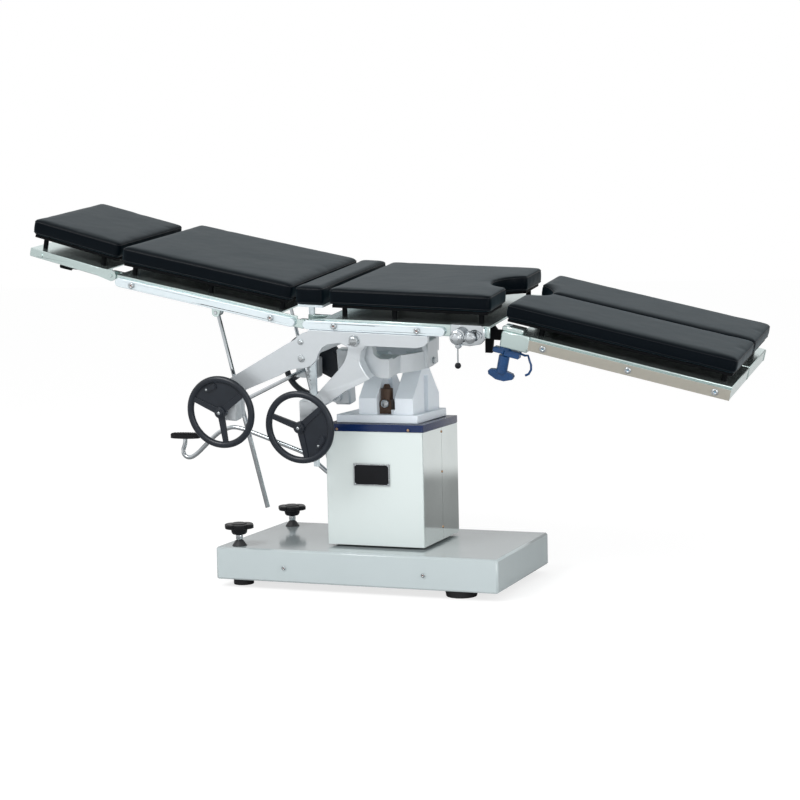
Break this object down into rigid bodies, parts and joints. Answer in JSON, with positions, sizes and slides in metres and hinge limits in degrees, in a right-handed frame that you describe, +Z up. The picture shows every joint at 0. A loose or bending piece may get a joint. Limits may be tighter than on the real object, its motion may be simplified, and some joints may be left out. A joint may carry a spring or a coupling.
{
  "type": "operating table",
  "caption": "Operating table with a black sectioned pad top, stainless frame and side rails, on a square hydraulic column and a low covered base, with a foot pump and drive handwheels.",
  "frame": {"origin": "floor level, under the middle of the part's bounds at rest", "axes": "+X towards the leg end, -X towards the head end, +Y away from the side with the pitch handwheel, +Z up"},
  "size_m": [1.9584, 0.6396, 1.0478],
  "materials": {
    "chrome": "polished chrome plate",
    "board": "black satin board",
    "cushion_leather": "black leatherette, low sheen",
    "steel_sheet": "brushed stainless sheet",
    "cast_frame": "satin silver castings",
    "wheel_plastic": "dark grey moulded plastic",
    "rail_steel": "ground stainless bar",
    "iron": "dark cast iron, matt",
    "painted_cover": "light grey enamel, satin",
    "blue_trim": "deep blue enamel",
    "clamp_blue": "blue enamel",
    "nameplate": "bare dark plate in a silver frame",
    "zinc": "zinc plated steel",
    "black_rubber": "black ribbed rubber",
    "dark_casting": "dark grey casting"
  },
  "bodies": {
    "stand": {"base_casting": "iron", "base_cover": "painted_cover", "column_cylinder": "iron"},
    "levelling_knob_left": {"knob_left": "wheel_plastic"},
    "levelling_knob_right": {"knob_right": "wheel_plastic"},
    "column": {"column_cover": "painted_cover", "column_trim": "blue_trim", "lift_ram": "chrome", "nameplate": "nameplate", "pump_bracket": "iron", "tilt_jack": "cast_frame", "tilt_stand": "cast_frame"},
    "pedal": {"pedal_lever": "zinc", "pedal_pad": "black_rubber"},
    "tilt_saddle": {"pitch_gearbox": "dark_casting", "saddle": "cast_frame", "tilt_axle": "zinc"},
    "table_frame": {"accessory_clamp": "chrome", "back_gearbox_left": "cast_frame", "back_gearbox_right": "cast_frame", "leg_bracket_left": "board", "leg_bracket_right": "board", "pitch_bracket": "cast_frame", "pivot_pin_left": "zinc", "pivot_pin_right": "zinc", "seat_board": "board", "seat_cushion": "cushion_leather", "seat_frame": "steel_sheet", "seat_rail_left": "rail_steel", "seat_rail_right": "rail_steel", "side_plate_left": "steel_sheet", "side_plate_right": "steel_sheet"},
    "pitch_wheel": {"pitch_handwheel": "wheel_plastic"},
    "back_wheels": {"back_cross_shaft": "chrome", "back_handwheel_left": "wheel_plastic", "back_handwheel_right": "wheel_plastic"},
    "kidney_bridge": {"kidney_cushion": "cushion_leather", "kidney_racks": "rail_steel"},
    "back_section": {"back_board": "board", "back_cushion": "cushion_leather", "back_frame": "steel_sheet", "back_rail_left": "rail_steel", "back_rail_right": "rail_steel"},
    "strut_left": {"back_strut_left": "chrome"},
    "strut_right": {"back_strut_right": "chrome"},
    "head_section": {"head_board": "board", "head_cushion": "cushion_leather", "head_frame": "steel_sheet"},
    "head_release": {"head_lever": "board"},
    "clamp_handle": {"clamp_lever": "chrome"},
    "leg_joint_left": {"leg_clamp_left": "clamp_blue"},
    "leg_joint_right": {"leg_clamp_right": "clamp_blue"},
    "leg_lock_left": {"leg_handle_left": "clamp_blue"},
    "leg_lock_right": {"leg_handle_right": "clamp_blue"},
    "leg_section_left": {"leg_board_left": "board", "leg_cushion_left": "cushion_leather", "leg_frame_left": "steel_sheet"},
    "leg_section_right": {"leg_board_right": "board", "leg_cushion_right": "cushion_leather", "leg_frame_right": "steel_sheet"}
  },
  "joints": [
    {"name": "knob_left_turn", "type": "hinge", "parent": "stand", "child": "levelling_knob_left", "pos_m": [-0.38409, -0.19618, 0], "axis": [0, 0, 1], "continuous": true},
    {"name": "knob_right_turn", "type": "hinge", "parent": "stand", "child": "levelling_knob_right", "pos_m": [-0.38409, 0.14282, 0], "axis": [0, 0, 1], "continuous": true},
    {"name": "column_lift", "type": "slide", "parent": "stand", "child": "column", "axis": [0, 0, 1], "range_m": [0, 0.25]},
    {"name": "pedal_pump", "type": "hinge", "parent": "column", "child": "pedal", "pos_m": [-0.11579, -0.00918, 0.262], "axis": [0, -1, 0], "range_deg": [0, 20], "stiffness_Nm_per_rad": 6},
    {"name": "lateral_tilt", "type": "hinge", "parent": "column", "child": "tilt_saddle", "pos_m": [-0.00779, -0.00918, 0.6], "axis": [-1, 0, 0], "range_deg": [-2.15, 17.45]},
    {"name": "trendelenburg", "type": "hinge", "parent": "tilt_saddle", "child": "table_frame", "pos_m": [-0.00209, -0.02276, 0.70109], "axis": [0, 0.9911, 0.1331], "range_deg": [-18.06, 16.94]},
    {"name": "pitch_handwheel_turn", "type": "hinge", "parent": "table_frame", "child": "pitch_wheel", "pos_m": [-0.16537, 0.00728, 0.47749], "axis": [0, 0.9911, 0.1331], "range_deg": [-360, 360]},
    {"name": "back_handwheel_turn", "type": "hinge", "parent": "table_frame", "child": "back_wheels", "pos_m": [-0.3763, 0.00138, 0.52142], "axis": [0, 0.9911, 0.1331], "range_deg": [-1440, 1440]},
    {"name": "kidney_lift", "type": "slide", "parent": "table_frame", "child": "kidney_bridge", "axis": [0.0534, -0.1329, 0.9897], "range_m": [0, 0.12]},
    {"name": "back_lift", "type": "hinge", "parent": "table_frame", "child": "back_section", "pos_m": [-0.15755, -0.0284, 0.74307], "axis": [0, -0.9911, -0.1331], "range_deg": [-60.54, 24.46], "deforming": ["kidney_cushion"]},
    {"name": "back_strut_left_turn", "type": "hinge", "parent": "back_section", "child": "strut_left", "pos_m": [-0.40431, -0.03214, 0.77099], "axis": [0, 0.9911, 0.1331], "range_deg": [-60, 60]},
    {"name": "back_strut_right_turn", "type": "hinge", "parent": "back_section", "child": "strut_right", "pos_m": [-0.40431, -0.03214, 0.77099], "axis": [0, 0.9911, 0.1331], "range_deg": [-60, 60]},
    {"name": "head_lift", "type": "hinge", "parent": "back_section", "child": "head_section", "pos_m": [-0.72962, -0.04531, 0.86898], "axis": [0, 0.9911, 0.1331], "range_deg": [-93.1, 15]},
    {"name": "head_lever_press", "type": "hinge", "parent": "head_section", "child": "head_release", "pos_m": [-0.79278, -0.04489, 0.8659], "axis": [0, -0.9911, -0.1331], "range_deg": [0, 10], "stiffness_Nm_per_rad": 0.6},
    {"name": "accessory_clamp_turn", "type": "hinge", "parent": "table_frame", "child": "clamp_handle", "pos_m": [0.28069, -0.02121, 0.68958], "axis": [0, 0.9911, 0.1331], "range_deg": [-40, 40]},
    {"name": "leg_left_fold", "type": "hinge", "parent": "table_frame", "child": "leg_joint_left", "pos_m": [0.39862, -0.0231, 0.70368], "axis": [0, 0.9911, 0.1331], "range_deg": [-10.66, 69.34]},
    {"name": "leg_right_fold", "type": "hinge", "parent": "table_frame", "child": "leg_joint_right", "pos_m": [0.39862, -0.0231, 0.70368], "axis": [0, 0.9911, 0.1331], "range_deg": [-10.66, 69.34]},
    {"name": "leg_handle_left_turn", "type": "hinge", "parent": "leg_joint_left", "child": "leg_lock_left", "pos_m": [0.39862, -0.23272, 0.67553], "axis": [0.2372, -0.1293, 0.9628], "range_deg": [-90, 0]},
    {"name": "leg_handle_right_turn", "type": "hinge", "parent": "leg_joint_right", "child": "leg_lock_right", "pos_m": [0.39862, 0.18651, 0.73184], "axis": [0.2372, -0.1293, 0.9628], "range_deg": [0, 90]},
    {"name": "leg_left_swing", "type": "hinge", "parent": "leg_joint_left", "child": "leg_section_left", "pos_m": [0.39862, -0.23272, 0.67553], "axis": [-0.2372, 0.1293, -0.9628], "range_deg": [0, 90]},
    {"name": "leg_right_swing", "type": "hinge", "parent": "leg_joint_right", "child": "leg_section_right", "pos_m": [0.39862, 0.18651, 0.73184], "axis": [0.2372, -0.1293, 0.9628], "range_deg": [0, 90]}
  ],
  "couplings": [
    {"joint": "pitch_handwheel_turn", "follows": "trendelenburg", "ratio": 12},
    {"joint": "back_handwheel_turn", "follows": "back_lift", "ratio": 12},
    {"joint": "back_strut_left_turn", "follows": "back_lift", "ratio": 0.64},
    {"joint": "back_strut_right_turn", "follows": "back_lift", "ratio": 0.64}
  ]
}
